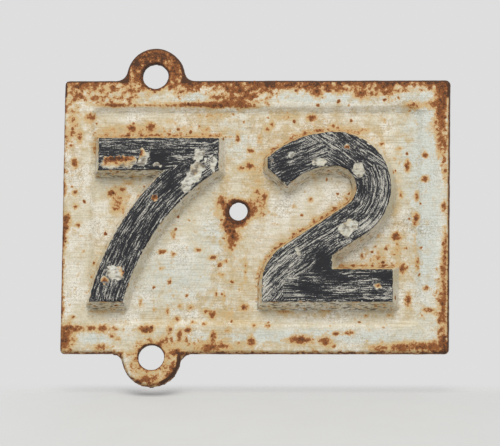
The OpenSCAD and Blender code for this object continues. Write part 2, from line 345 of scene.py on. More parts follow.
# Where the plate has worn, in mm from its middle: right, up, half width, half height, how much
plateWear = {
    "rust": [
        # top rim
        (47, 99.5, 4.4, 4.4, 0.95), (64, 102, 3.6, 3.6, 0.85), (82, 98, 6, 4.4, 0.9), (123, 88.5, 6, 3, 0.75),
        (138, 89.5, 5, 3, 0.72), (147, 92, 3, 4, 0.9), (146, 103, 4.5, 6, 0.92), (-95, 89, 34, 1.3, 0.55),
        (-45, 89.4, 26, 2.0, 0.85), (-14, 92, 6, 3, 0.85), (-9, 88.5, 6, 2, 0.8), (93, 98, 5, 3, 0.6),
        (3, 105, 6, 3, 0.8), (-122, 101, 4, 3, 0.7), (-31, 89.3, 11, 2.2, 0.95), (-112, 89.2, 8, 1.6, 0.9),
        (-136, 106, 5, 3, 0.8), (-79, 128.5, 13, 5, 0.9), (-65, 119, 5, 9, 0.85), (-95, 119, 4, 5, 0.45),
        # panel, upper half
        (-98.2, 70.9, 4, 3.4, 0.9), (-83.6, 71.9, 4.2, 3.8, 0.9), (-116, 70, 5, 2, 0.55),
        (-69, 76.5, 4, 1.6, 0.45), (-39.8, 69.9, 4, 2, 0.5), (-56, 71, 4, 2, 0.4), (-15, 62.7, 1.6, 4.4, 0.8),
        (-4.5, 52.5, 2.8, 2, 0.85), (-5, 40.3, 2.6, 3.2, 0.95), (-12, 38.8, 3, 2.4, 0.7),
        (42.9, 79.2, 3.6, 2.6, 0.95), (12, 73.7, 2, 3, 0.65), (8.2, 69.9, 2.5, 1.8, 0.7),
        (59.7, 72.6, 2, 2, 0.7), (100.3, 77, 1.4, 2, 0.6), (84.6, 69.3, 5, 2, 0.62),
        (98.7, 58.4, 2.2, 2, 0.7), (112.2, 54, 2.4, 1.6, 0.62), (2.8, 62, 2, 4, 0.5),
        (132.8, 48.5, 2.4, 2.4, 0.9), (118.7, 40.3, 2, 4.6, 0.95), (132.8, 29.3, 3, 2.4, 0.95),
        (126.3, 16.1, 1.6, 4.4, 0.8), (113.8, 17.2, 1.6, 4, 0.65), (6.6, 15, 2.4, 4.4, 0.85),
        (1, 20, 3, 3, 0.45), (43.4, 13.4, 2.4, 2, 0.8), (30, 8, 3, 2, 0.4),
        # panel, lower half
        (-73, -28.4, 3, 2, 0.95), (-64.4, -14.6, 1.8, 4, 0.75), (-44.8, -26.9, 3, 1.8, 0.75),
        (-64.4, -30.5, 1.8, 2, 0.75), (-73.5, -41.7, 2, 1.6, 0.65), (-67, -52.4, 1.6, 3, 0.7),
        (-100.2, -63.1, 2.6, 2.4, 0.9), (-89.6, -68.7, 2, 4, 0.5), (-79, -73.8, 2, 2, 0.55),
        (-68, -75.9, 1.6, 3.6, 0.62), (-60.4, -82, 2.6, 2, 0.8), (-58.9, -71.8, 1.8, 1.6, 0.7),
        (-50.3, -72.8, 3, 2.2, 0.62), (-38.7, -75.9, 1.8, 2, 0.75), (-33.2, -78.4, 2.8, 3, 0.95),
        (-33.2, -33, 3, 1.8, 0.95), (-27.2, -38, 2, 2, 0.85), (-22.6, -35.6, 1.6, 1.6, 0.7),
        (-25.6, -46.8, 2, 2, 0.72), (-30.2, -62, 1.4, 3, 0.7), (-24, -64, 1.4, 4, 0.55),
        (-8, -72.8, 3.4, 2.6, 0.92), (-39.2, -86, 2.2, 1.6, 0.8), (-48, -85, 2, 1.6, 0.6),
        (-11, -58, 2, 4, 0.4), (-20, -78, 5, 5, 0.4),
        # left of the 7
        (-113.6, 18.9, 3.4, 3, 0.92), (-109, 12.7, 3, 3, 0.7), (-109.6, 6.6, 4.4, 3.4, 0.72),
        (-105, 21.9, 3, 2.4, 0.7), (-100.3, 27, 3, 2, 0.6), (-101, 16, 3, 3, 0.5), (-143, 42.3, 2.6, 4, 0.92),
        (-145.6, 66.3, 4, 3, 0.75), (-139, 62.7, 1.8, 5, 0.75), (-131.5, 79, 4.5, 4, 0.75),
        (-145, 77, 4, 4, 0.62), (-142, 18.9, 2, 2.6, 0.8), (-141.6, 7.1, 2, 2, 0.78),
        (-139.5, -7.5, 2, 2, 0.7), (-148.6, -2.4, 3.4, 4.5, 0.95), (-149.5, -9.5, 3, 3, 0.9),
        (-151, -19, 3, 8, 0.9), (-151.7, 21.9, 2.4, 6, 0.9), (-151.5, -75, 2.6, 6, 0.85),
        (-142, -81, 2.4, 1.6, 0.7), (-120, -76, 12, 1.6, 0.45),
        # bottom rim
        (-144, -90.2, 6, 3, 0.85), (-136, -90.2, 4, 2.6, 0.6), (-128, -90.2, 2.6, 2.6, 0.85),
        (-119, -90, 5, 3.4, 0.85), (-109, -90.5, 3, 2, 0.65), (-148.5, -99, 5, 9, 0.95),
        (-120, -105, 6, 2.6, 0.75), (-111, -96, 3, 2, 0.7), (-106, -98.5, 3, 2, 0.5), (-89, -90, 2, 2.4, 0.6),
        (-85.3, -91.5, 3, 3.4, 0.95), (-80.5, -90, 2.4, 3, 0.85), (-66, -91, 2.4, 4, 0.7),
        (-58.5, -96, 2.2, 5, 0.9), (-51.8, -91.2, 3, 3, 0.9), (-69, -99.3, 2.6, 3, 0.75),
        (-74.5, -103.4, 3.4, 3, 0.9), (-61.4, -109, 5, 3.4, 0.9), (-31.7, -96.3, 2.6, 4, 0.9),
        (-35, -105, 8, 3, 0.9), (-23.6, -103.6, 5, 2, 0.8), (-2, -100.4, 3, 4, 0.92), (-20, -92, 3, 2, 0.5),
        (11, -88, 2.4, 2, 0.7), (-0.5, -87.5, 2, 2, 0.55), (36.4, -99, 10, 3.4, 0.95),
        (55.9, -100, 4, 3.4, 0.95), (64, -94, 3, 2, 0.85), (74.3, -93.5, 3.6, 2, 0.85),
        (62.4, -104, 2, 1.6, 0.8), (97, -105.6, 7, 2.6, 0.7), (114.4, -105, 8, 3.4, 0.85),
        (135, -104.5, 14, 4, 0.85), (149, -101, 5, 9, 1.0), (-20, -108.5, 70, 1.6, 0.35),
        # panel, right end
        (125.8, -1.9, 2.4, 4.4, 0.95), (110, -16.2, 4, 3.4, 0.95), (111, -26, 1.6, 6, 0.6),
        (96.5, -15, 2, 2, 0.65), (78, -22.2, 2.4, 2, 0.85), (83.5, -31.5, 1.6, 3.4, 0.7),
        (96, -33, 3, 2.6, 0.65), (115.5, -42, 3, 4, 0.92), (127, -38, 1.8, 6, 0.62),
        (119.8, -67.2, 2.4, 5.4, 0.9), (133.9, -57.9, 2.4, 2, 0.8), (136, -75.4, 4.4, 2, 0.85),
        (87.3, -79.8, 1.6, 1.6, 0.75), (105, -79, 2, 2, 0.55), (22.9, -76, 6, 3, 0.6),
        (56.4, -75, 4, 2, 0.55), (-7.5, -45, 1.4, 12, 0.5), (125, -20, 1.6, 10, 0.35), (148, 7, 2.6, 4, 0.9),
        # right rim
        (144.6, 84, 4, 11, 0.9), (144, 60, 3, 12, 0.72), (150, -20, 2.4, 8, 0.98), (150, -34, 3.2, 10, 0.98),
        (149.5, -62, 3.4, 17, 0.92), (149.5, 35, 2, 12, 0.5), (139, 72, 5, 6, 0.35),
        # the run below the middle hole
        (-15, -5, 7, 3.4, 1.0), (-19.5, -10, 2.6, 4, 0.95), (-17, -16, 5, 5, 0.97), (-19, -24, 2.4, 5, 0.7),
        (-27, 12, 4, 5, 0.85), (-31, 2, 2, 3, 0.5), (-23.5, -7, 3.6, 3.6, 0.85), (-1.5, 5, 3.6, 4.6, 0.8),
        (-2, 12, 4, 3, 0.6)],
    "mottle": [(-136, 106, 12, 4.5, 0.8), (-143, 98, 9, 8, 0.4), (-112, 105, 20, 6, 0.55),
        (-117, 93.5, 16, 5, 0.62), (-1, 34, 6, 14, 0.36), (-24, 40, 4, 14, 0.26), (-48, 105.5, 20, 4, 0.7),
        (-10, 96, 22, 9, 0.76), (-5, 106, 30, 4, 0.85), (25, 105, 24, 4, 0.72), (60, 105, 30, 6.5, 0.82),
        (104, 105.5, 20, 5, 0.88), (104, 100, 7, 7, 0.6), (135, 106, 16, 4, 0.7), (146, 100, 7, 10, 0.8),
        (-95, 120, 6, 9, 0.92), (-64, 119, 6, 9, 0.92), (-80, 129, 16, 7, 0.95), (-96, 104, 9, 8, 0.42),
        (-62, 104, 7, 6, 0.3), (-52, 106, 4, 4, 0.6), (-62, 97, 7, 3, 0.35), (-28, 95, 9, 4, 0.7),
        (-38, 81, 10, 3, 0.45), (22, 81, 10, 3, 0.45), (-80, -131, 14, 4, 0.8), (-63, -124, 4, 10, 0.85),
        (-95, -122, 5, 6, 0.6), (-72, -118, 6, 5, 0.4), (-66, -100, 16, 7, 0.4), (-30, -103, 22, 5, 0.5),
        (126, -105, 28, 3.6, 0.6), (149, -68, 6, 40, 0.86), (147, 78, 5, 26, 0.72), (149, 42, 4, 22, 0.45),
        (-151, -40, 2, 60, 0.4), (-146, -98, 7, 12, 0.62), (-146, 70, 6, 22, 0.45), (-108, 14, 7, 12, 0.45),
        (-20, -20, 9, 12, 0.35), (-3, 7, 8, 8, 0.4), (100, -30, 16, 10, 0.38), (5, 12, 6, 14, 0.4),
        (-90, 70, 22, 5, 0.42)],
    "stain": [(-20, 72, 34, 10, 0.55), (-100, 68, 34, 8, 0.6), (-107, 12, 9, 15, 0.6), (-2, 32, 8, 22, 0.7),
        (-24, 36, 6, 22, 0.5), (109, 2, 5, 14, 0.7), (-38, 81, 12, 4, 0.7), (22, 81, 12, 4, 0.7),
        (-120, -35, 8, 30, 0.35), (62, 68, 45, 10, 0.65), (15, 55, 16, 16, 0.6), (5, 15, 12, 24, 0.55),
        (100, -38, 26, 18, 0.45), (118, -10, 8, 90, 0.3), (-20, -88, 14, 14, 0.55), (-24, -40, 14, 40, 0.25),
        (60, -78, 60, 5, 0.5), (-80, -84, 40, 7, 0.35), (-141, 40, 8, 60, 0.4), (-100, 100, 50, 10, 0.45),
        (100, 92, 40, 10, 0.35), (0, -104, 150, 4, 0.5), (-5, -60, 10, 30, 0.4), (-42, -72, 28, 14, 0.45),
        (-25, -42, 12, 22, 0.35)],
    "backRuns": [(-80, 92, 6, 26, 0.9), (-80, 112, 22, 14, 0.9), (-80, -112, 22, 14, 0.9),
        (-14, -10, 5, 34, 0.9), (-14, 4, 15, 13, 0.9), (60, -104, 80, 7, 0.6)],
    "blueWash": [(-20, 60, 20, 20, 0.5), (130, 60, 14, 40, 0.9), (133, -20, 12, 50, 0.7),
        (-50, 95, 12, 4, 0.9), (60, 95, 45, 4, 0.9), (-123, 95, 8, 6, 0.9), (-60, -50, 40, 26, 0.45),
        (40, -97, 90, 6, 0.7), (-85, 99, 8, 5, 0.8), (-30, -10, 14, 20, 0.4), (-125, -98, 12, 4, 0.7)],
    # round each hole: how much, and how far it reaches in mm
    "holes": {"centre_hole": (1.0, 4.4), "top_lug_hole": (0.9, 2.6), "bottom_lug_hole": (0.75, 1.6)},
}


def holeAt(mountName):
    mount = next(mount for mount in frame["record"]["mounts"] if mount["name"] == mountName)
    x, _, z = mount["pos_m"]
    return round(x * 1000 - plateMiddle[0], 2), round(z * 1000 - plateMiddle[1], 2), mount["dims"]["r_mm"]


def wearPlate(piece, outlines):
    mesh = piece.data
    x, z, height = plateMm(mesh).T
    halfWidth, halfHeight = plateHalf
    front = np.clip((height - 2.0) / 2.0, 0, 1)
    rust = front * patchField(x, z, plateWear["rust"])
    mottle = front * np.maximum(patchField(x, z, plateWear["mottle"]), 0.1)
    stain, blue = patchField(x, z, plateWear["stain"]), patchField(x, z, plateWear["blueWash"])
    for side, amount, reach in (
            (halfHeight - z, 0.5, 2.2), (halfHeight + z, 0.45, 1.2), (halfWidth + x, 0.5, 1.6)):
        mottle = addedTo(mottle, amount * fading(np.abs(side), reach) * (np.abs(side) < 12))

    # a dark line where the coat has worn off the rounded arris, and a paler strip inside it at the right
    topLug, bottomLug = holeAt("top_lug_hole"), holeAt("bottom_lug_hole")
    fromLug = {lug: np.hypot(x - lug[0], z - lug[1]) for lug in (topLug, bottomLug)}
    inner = np.minimum(halfWidth - np.abs(x), halfHeight - np.abs(z))
    for away in fromLug.values():
        inner = np.maximum(inner, lugRadius - away)
    onTop, onRight, onFoot = z > 95, x > 140, z < -95
    strip = bell(x, 150.5, 1.1) * (np.abs(z) < 101) * front
    mottle, rust = mottle * (1 - 0.75 * strip), rust * (1 - 0.6 * strip)
    blue = np.maximum(blue, 0.8 * strip)
    worn = np.where(onTop, 0.95, np.where(onRight, 0.9, np.where(onFoot, 0.7, 0.5)))
    arris = worn * front * fading(inner - np.where(onTop, 2.3, 1.2), np.where(onRight, 0.9, 0.7))
    mottle = addedTo(mottle, 0.8 * arris)
    rust = np.maximum(rust, 1.1 * arris * (onTop | onRight))
    grimeAndShade = 0.9 * arris

    # a painted shadow: a dark crescent in rust and grime colours at the lower right of the bottom lug, and
    # the top lug is browned above
    holeX, holeZ, _ = bottomLug
    lugShadeCrescent = bell(fromLug[bottomLug], lugRadius - 1.6, 1.9) * np.clip((x - holeX) / 10, 0, 1)
    lugShadeCrescent = lugShadeCrescent * (z < holeZ + 4) * front
    rust, grimeAndShade = np.maximum(rust, 1.15 * lugShadeCrescent), np.maximum(grimeAndShade, 0.95 * lugShadeCrescent)
    holeX, holeZ, _ = topLug
    grimeAndShade = np.maximum(grimeAndShade, 0.4 * np.clip((z - holeZ) / 10, 0, 1) * (np.abs(x - holeX) < 30) * front)

    # rust rings the holes, and leans down and to the left of them
    for mountName, (amount, reach) in plateWear["holes"].items():
        holeX, holeZ, radius = holeAt(mountName)
        away = np.hypot(x - holeX, z - holeZ)
        lean = (0.7 * (holeX - x) + 0.5 * (holeZ - z)) / (away + 0.01)
        ring = np.maximum(away - radius, 0) / (1 + 0.35 * lean)
        rust = addedTo(rust, amount * np.exp(-(ring / reach) ** 3))
        mottle = addedTo(mottle, 0.6 * fading(ring, 4))
        stain = np.maximum(stain, 0.9 * fading(ring, 7))
        grimeAndShade = np.maximum(grimeAndShade, 0.95 * np.exp(-(ring / reach / 0.75) ** 4))

    # painted shade along the foot of each numeral, deeper below its strokes, and stain where water stands
    # above it
    for key, outline in outlines.items():
        low, high = outline.reshape(-1, 2).min(0) - 16, outline.reshape(-1, 2).max(0) + 16
        close = (x > low[0]) & (x < high[0]) & (z > low[1]) & (z < high[1]) & (height > 3.5)
        close = np.nonzero(close)[0]
        gap, away, inside = nearestEdge(np.stack([x[close], z[close]], 1), outline)
        upward, downward = gathersAbove(key, away, z[close]), np.clip(-away[:, 1], 0, 1)
        foot = fading(gap - 5.5, 2.2) * ~inside
        footShade = fading(gap - 6.2, 2.0) * (0.2 + 0.1 * downward) * ~inside
        wet = 0.7 * upward * fading(gap - 6, 5) * ~inside
        mottle[close] = addedTo(mottle[close], foot * (0.08 + 0.5 * upward))
        grimeAndShade[close] = np.maximum(grimeAndShade[close], footShade)
        stain[close] = np.maximum(stain[close], wet)

    # the back and the side walls have lost more of their paint, in clouds 60 mm across
    back = np.clip((1.2 - height) / 1.2, 0, 1)
    wall = np.clip((6.5 - height) / 2, 0, 1) * (inner < 1.5)
    behind = np.nonzero(back > 0)[0]
    broad = np.array([noise.fractal(Vector((px * 0.016, pz * 0.02, 5.0)), 0.8, 2.1, 5)
                      for px, pz in zip(x[behind], z[behind])])
    runs = patchField(x[behind], z[behind], plateWear["backRuns"])
    rim = fading(inner[behind], 7)
    bare = back[behind] * np.clip(0.4 + 0.8 * broad + 0.6 * runs + 0.4 * rim, 0.08, 0.98)
    mottle[behind] = np.maximum(mottle[behind], bare)
    mottle = np.maximum(mottle, 0.8 * wall)
    stain = np.maximum(stain, 0.7 * np.maximum(back, wall))
    # a painted shade band along the slope of the top step, which faces down
    step = 0.3 * bell(z, 83.5, 2.2) * (x < 140) * front
    grimeAndShade = np.maximum(np.maximum(grimeAndShade, 0.5 * wall), step)
    writeFields(mesh, {"rust": rust, "mottle": mottle, "stain": stain, "blueWash": blue, "grimeAndShade": grimeAndShade})


def gathersAbove(key, away, z):
    # water stands on the sides that face up and to the left; on the 7 that is only the top of its arm
    upward = np.clip(away[:, 1] * 0.9 - away[:, 0] * 0.4, 0, 1)
    return upward * (z > 50) if key == "7" else upward


# Where the numerals have worn, in the same measures
numeralWear = {
    "rust": [(-113, 43.6, 5, 2.6, 0.95), (-105, 44.4, 7, 2.2, 0.9), (-98.5, 44, 4, 1.8, 0.6),
        (-110, 40, 7, 1.8, 0.5), (-118.5, 42, 2, 3, 0.5), (-89.5, 48.5, 2.5, 3, 0.8),
        (-78.4, 13.2, 3, 3, 0.95), (-102.4, -46.2, 2.6, 4.2, 0.78), (-117, -54, 3, 3, 0.8),
        (-53, 37, 4, 1.2, 0.4), (72, 53, 3, 2, 0.7), (97, -57.6, 2.5, 1.6, 0.8), (-120, 63, 6, 2, 0.6),
        (-85, 64, 30, 1.4, 0.4), (40, -71, 10, 2, 0.6)],
    "stain": [(-108, 41, 14, 5, 0.6), (-50, 34, 10, 12, 0.2), (72, -10, 8, 8, 0.2), (34, -36, 5, 6, 0.6)],
}


def wearNumeral(piece, key, outline):
    mesh = piece.data
    x, z, height = plateMm(mesh).T
    _, away, _ = nearestEdge(np.stack([x, z], 1), outline)
    face = height > 16.0
    upward, downward, lit = gathersAbove(key, away, z), np.clip(-away[:, 1], 0, 1), np.clip(away[:, 0], 0, 1)
    foot = bell(height, 6.6, 1.6)
    rust = patchField(x, z, numeralWear["rust"]) * face
    stain = np.maximum(patchField(x, z, numeralWear["stain"]) * face, (0.12 + 0.6 * upward) * ~face)

    # the brush and the weather left lines along the flanks, 1 mm apart, and a dark one under the black coat
    lines = np.array([noise.fractal(Vector((px * 0.22, pz * 0.22, ph * 1.1)), 0.7, 2.2, 3)
                      for px, pz, ph in zip(x, z, height)])
    mottle = np.maximum(foot * (0.28 + 0.45 * upward), 0.3 * bell(height, 15.6, 0.8))
    mottle = np.maximum(mottle, 0.2 + 0.25 * upward) * ~face
    # flanks facing right are painted lighter, with less rust, as a painted highlight
    mottle = mottle * (1 - 0.5 * lit) + 0.4 * np.clip(-lines - 0.15, 0, 1) * ~face
    lip = bell(height, 15.9, 0.5) * np.clip(0.6 - away[:, 1], 0, 1)
    drawn = (0.8 + 0.9 * downward) * np.clip(lines - 0.03, 0, 1)
    # painted shade on flanks facing down and at the foot, with heavier lines below, and a painted highlight
    # on flanks facing right, which get less grime
    flank = (0.1 + 0.08 * foot + 0.04 * downward + drawn + 0.6 * lip) * (1 - 0.75 * lit)
    grimeAndShade = np.where(face, 0.38 + 0.6 * np.clip(lines, -0.2, 1), flank)
    blue = np.where(face, 0.4, 0.1)
    writeFields(mesh, {"rust": rust, "mottle": mottle, "stain": stain, "blueWash": blue, "grimeAndShade": grimeAndShade})


# Oil paint over sand-cast iron: chalky cream with yellow stain, brown freckles and rust through it
whitePaint = {
    "cream": "#D4CCB4", "rust": "#8B5227", "roughness": 0.52, "rustRoughness": 0.9,
    # coats: colour, where the pattern starts to show it, where it is full, its share there
    "pale": ("#EBE8DD", 0.38, 0.64, 1.0), "blue": ("#CDD5D1", 0.55, 1.15, 0.8),
    "stain": ("#C4AD7E", 1.62, 2.5, 0.9), "brushed": ("#A9A083", 0.46, 0.74, 0.4),
    "chalked": ("#C0B695", 0.4, 0.62, 0.3), "pepper": ("#75633F", 0.76, 0.9, 0.55),
    "craze": ("#8B7A54", 0.0, 1.0, 1.0), "grimeAndShade": ("#574938", 0.84, 1.42, 0.88),
    "halo": ("#C6A66E", 0.22, 0.5, 0.78), "orange": ("#B07A3F", 0.42, 0.6, 0.9),
    "rustDark": ("#352016", 1.22, 1.56, 0.92), "rusted": (0.54, 0.7, 0.96),
    "brushMm": (16.6667, 1.11111, 0.909091), "dragMm": (5.88235, 1.5625, 1.5625),
    "crackMm": 2.38095, "spotMm": 9.09091, "bendMm": 3.33333, "bendReachMm": 3.5,
    "clouds": {"broad": (23.8095, 4.0, 0.6, 0.0), "middle": (4.7619, 5.0, 0.7, 0.4),
               "fine": (1.11111, 3.0, 0.7, 0.0), "patchy": (6.66667, 6.0, 0.72, 0.0),
               "chalk": (1.6129, 4.0, 0.75, 0.0), "ragged": (2.63158, 6.0, 0.72, 0.2),
               "blotch": (4.44444, 7.0, 0.68, 0.12), "sand": (0.666667, 2.0, 0.5, 0.0)},
}


def makeWhitePaint():
    material, add, spot, cloud = startMaterial("chalkedOilPaintOnCastIron", whitePaint["clouds"])
    wear = {name: add("Attribute", attribute_name=name, take="Fac")
            for name in ("rust", "mottle", "stain", "blueWash", "grimeAndShade")}

    # cream and pale patches about 24 mm across, as the coat was worked over, and a bluish tint in places
    colour, _ = layCoat(add, linearColour(whitePaint["cream"]), cloud["broad"], whitePaint["pale"])
    blueSum = weightedSum(add, (wear["blueWash"], 1.0), (cloud["middle"], 1.0))
    colour, _ = layCoat(add, colour, blueSum, whitePaint["blue"])

    # yellow stain spreads out of the rust and settles unevenly
    stainSum = weightedSum(add, (wear["stain"], 1.0), (wear["mottle"], 0.55), (wear["rust"], 0.6))
    stainNoise = weightedSum(add, (stainSum, 1.0), (cloud["patchy"], 3.0))
    colour, _ = layCoat(add, colour, stainNoise, whitePaint["stain"])

    # brush marks run across the plate, 1 mm between hairs
    brush = [1000 / size for size in whitePaint["brushMm"]]
    brush = add("Mapping", {0: spot, "Scale": brush})
    brush = add("TexNoise", {"Vector": brush, "Scale": 1.0, "Detail": 2.0})
    colour, _ = layCoat(add, colour, brush, whitePaint["brushed"], ramp="LINEAR", blend="MULTIPLY")

    # chalky specks, freckles of about 1 mm and a net of fine cracks, drawn twice as wide as real ones
    colour, _ = layCoat(add, colour, cloud["chalk"], whitePaint["chalked"], blend="MULTIPLY")
    pepperSum = weightedSum(add, (cloud["fine"], 1.0), (cloud["broad"], 0.4))
    colour, _ = layCoat(add, colour, pepperSum, whitePaint["pepper"])
    bend = {"Vector": spot, "Scale": 1000 / whitePaint["bendMm"], "Detail": 2.0}
    bend = add("TexNoise", bend, take=1)
    bend = {0: bend, "Scale": whitePaint["bendReachMm"] / 1000}
    bend = add("VectorMath", bend, operation="SCALE")
    bent = add("VectorMath", {0: spot, 1: bend}, operation="ADD")
    cracks = {"Vector": bent, "Scale": 1000 / whitePaint["crackMm"]}
    cracks = add("TexVoronoi", cracks, feature="DISTANCE_TO_EDGE")
    crackLine = add("MapRange", {0: cracks, 1: 0.02, 2: 0.1, 3: 1.0, 4: 0.0})
    crackPlace = add("MapRange", {0: cloud["broad"], 1: 0.5, 2: 0.66, 4: 0.3})
    crackShare = add("Math", {0: crackLine, 1: crackPlace}, operation="MULTIPLY")
    colour, _ = layCoat(add, colour, crackShare, whitePaint["craze"], ramp="LINEAR")

    # soot and soil as thin lines, 1.5 mm apart, that the weather drew along, plus painted shade in corners,
    # along the numerals' feet, under their strokes and on the top step
    drag = [1000 / size for size in whitePaint["dragMm"]]
    drag = add("Mapping", {0: spot, "Scale": drag, "Rotation": (0.0, 0.2, 0.0)})
    drag = add("TexNoise", {
        "Vector": drag, "Scale": 1.0, "Detail": 4.0, "Roughness": 0.7, "Distortion": 0.6})
    drag = weightedSum(add, (wear["grimeAndShade"], 1.0), (drag, 1.3))
    colour, _ = layCoat(add, colour, drag, whitePaint["grimeAndShade"])

    # rust: single blooms with a ragged rim, and areas where blotches of 1 to 4 mm leave paint between them
    blooms = weightedSum(add, (wear["rust"], 1.0), (cloud["ragged"], 1.9), plus=-0.95)
    areas = weightedSum(add, (wear["mottle"], 1.0), (cloud["blotch"], 2.6), plus=-1.36)

    # and spots of 1 to 2 mm about 9 mm apart, where the stain is thick enough for one to have broken through
    cells = {"Vector": bent, "Scale": 1000 / whitePaint["spotMm"]}
    cells = add("TexVoronoi", cells).node.outputs
    core = {0: cells["Distance"], 1: 0.02, 2: 0.34, 3: 1.0, 4: 0.0}
    core = add("MapRange", core, interpolation_type="SMOOTHSTEP")
    shade = add("SeparateColor", {0: cells["Color"]})
    place = weightedSum(add, (shade, 1.0), (stainSum, 0.34))
    chosen = add("MapRange", {0: place, 1: 0.64, 2: 0.82, 4: 1.05})
    spots = weightedSum(add, (core, chosen), (cloud["ragged"], 1.2), plus=-0.72)
    rustSum = add("Math", {0: blooms, 1: areas}, operation="MAXIMUM")
    rustSum = add("Math", {0: rustSum, 1: spots}, operation="MAXIMUM")

    haloSum = weightedSum(add, (rustSum, 1.0), (wear["rust"], 0.26))
    darkSum = weightedSum(add, (rustSum, 1.0), (cloud["fine"], 0.9), (wear["grimeAndShade"], 0.3))
    colour, _ = layCoat(add, colour, haloSum, whitePaint["halo"])
    colour, _ = layCoat(add, colour, rustSum, whitePaint["orange"])
    rustTone, _ = layCoat(add, linearColour(whitePaint["rust"]), darkSum, whitePaint["rustDark"])
    colour, rustShare = layCoat(add, colour, rustSum, (rustTone, *whitePaint["rusted"]))

    # sand, brush ridges, cracks, paint standing over the rust, and crumbly scale: strength and depth in mm
    scaly = add("Math", {0: cloud["fine"], 1: rustShare}, operation="MULTIPLY")
    relief = {}
    for pattern, strength, depth, sunk in (
            (cloud["sand"], 0.5, 0.14, False), (brush, 0.5, 0.12, False), (crackShare, 0.6, 0.2, True),
            (rustShare, 0.8, 0.4, True), (scaly, 0.9, 0.6, False)):
        relief["Normal"] = add("Bump", {
            "Strength": strength, "Distance": depth / 1000, "Height": pattern, **relief}, invert=sunk)
    rough = {0: rustShare, 3: whitePaint["roughness"], 4: whitePaint["rustRoughness"]}
    rough = add("MapRange", rough)
    shader = add("BsdfPrincipled", {"Base Color": colour, "Roughness": rough, **relief})
    add("OutputMaterial", {"Surface": shader})
    return material


# Black paint on the numerals: one thin brushed coat that the bristles left open in streaks
blackPaint = {
    "dark": "#111319", "roughness": 0.5, "wornRoughness": 0.7,
    # coats: colour, where the pattern starts to show it, where it is full, its share there
    "solid": ("#0F1016", 0.0, 1.0, 1.0), "mid": ("#33353B", 0.96, 1.08, 1.0),
    "streak": ("#C4C1B5", 0.0, 1.0, 1.0), "open": (1.053, 1.13, 0.97), "scuff": ("#99958A", -0.7, -1.5, 0.85),
    "clouds": {"lot": (8.33333, 3.0, 0.6, 0.0), "grit": (0.833333, 2.0, 0.5, 0.0),
               "crumbs": (1.42857, 3.0, 0.7, 0.0)},
    # length and pitch in mm, detail, roughness, distortion
    "strokes": {"hair": (25.0, 1.35135, 7.0, 0.76, 0.3), "dash": (6.25, 0.666667, 3.0, 0.7, 0.0)},
    "gridMm": 0.55, "topMm": 16.78, "thickMm": 0.55, "outMm": 0.5, "ragMm": 0.5,
    "chipRagMm": 1.5, "chipDriftMm": 2.4, "chipInMm": 0.35, "flakeMm": 2.5, "flakeDepthMm": 9.0,
}


def arc(x, z, radius, start, end, step):
    turns = np.radians(np.arange(start, end, step))
    return [(x + radius * math.cos(turn), z + radius * math.sin(turn)) for turn in turns]


# The way the brush went, as points in mm from the plate's middle, and the half width it covers
brushLines = {
    "7": [([(-130, 47.7), (-20, 47.7)], 12.5), (arc(66.6, -110, 186, 118, 174, 4), 13)],
    "2": [([(-6, 31), (52, 53)], 14), ([(50, 62), (90, 33)], 15), (arc(62, 20.8, 31, 24, -60, -7), 14),
          ([(80, -4), (38, -31)], 14), ([(50, -24), (22, -46), (4, -66)], 17),
          ([(30, -57.5), (112, -57.5)], 13)],
}
# Chips too small for the fitted film, and where the coat is thicker or thinner, as for the plate
smallChips = {
    "7": [(-78.4, 13.2, 2.6, 2.8), (-117.0, -53.5, 1.9, 2.8), (-38, 43, 1.0, 2.2)],
    "2": [(72, 53, 2.6, 1.3), (97, -57.6, 2.2, 1.8), (12, 42, 1.0, 2.2)],
}
darkPatches = {
    "7": [(-75, 44, 5.5, 5, 0.9), (-80, 32, 5, 5, 0.5), (-112, 56, 20, 6, 0.1), (-66, 24, 5, 8, 0.35),
        (-84, -20, 5, 10, 0.25)],
    "2": [(83, 23, 2.4, 5.0, 0.5), (62, -48, 7, 4.5, 0.6), (34, -45, 4, 3, 0.3), (54, -63, 7, 3, 0.5),
        (22, 38, 9, 10, 0.3), (53, -38, 5, 7, 0.9), (104, -50, 5, 4, 0.6), (38, -59, 8, 4, 0.7)],
}
wornPatches = {
    "7": [(-35, 42, 4, 8, 0.6), (-105, 55, 16, 5, 0.35), (-52, 15, 8, 14, 0.4), (-113, -55, 5, 8, 0.5),
        (-70, 58, 30, 3, 0.3)],
    "2": [(87, -12, 8, 6, 1.0), (8, -61, 7, 9, 1.0), (50, 58, 14, 6, 0.45), (28, -46, 16, 14, 0.7),
        (60, -20, 14, 10, 0.3), (10, 32, 9, 9, 0.6), (98, 20, 10, 30, 0.4), (70, -62, 30, 3, 0.5),
        (104, -66, 6, 3, 0.8), (40, 47, 18, 8, 0.3)],
}


def brushCoordinates(points, lines):
    # along and across the nearest stroke of the brush, in mm, and which stroke it is
    best = np.full(len(points), 1e9)
    u, v, which = np.zeros(len(points)), np.zeros(len(points)), np.zeros(len(points), int)
    for index, (line, halfWidth) in enumerate(lines):
        line = np.array(line)
        before = 0.0
        for a, b in zip(line[:-1], line[1:]):
            along = b - a
            length = np.hypot(*along)
            offset = points - a
            share = np.clip(offset @ along / length ** 2, 0, 1)
            aside = offset - share[:, None] * along
            across = (along[0] * offset[:, 1] - along[1] * offset[:, 0]) / length
            gap = np.hypot(aside[:, 0], aside[:, 1]) / halfWidth
            closer = gap < best
            best[closer], which[closer] = gap[closer], index
            u[closer], v[closer] = before + (share * length)[closer], across[closer]
            before += length
    return u, v, which


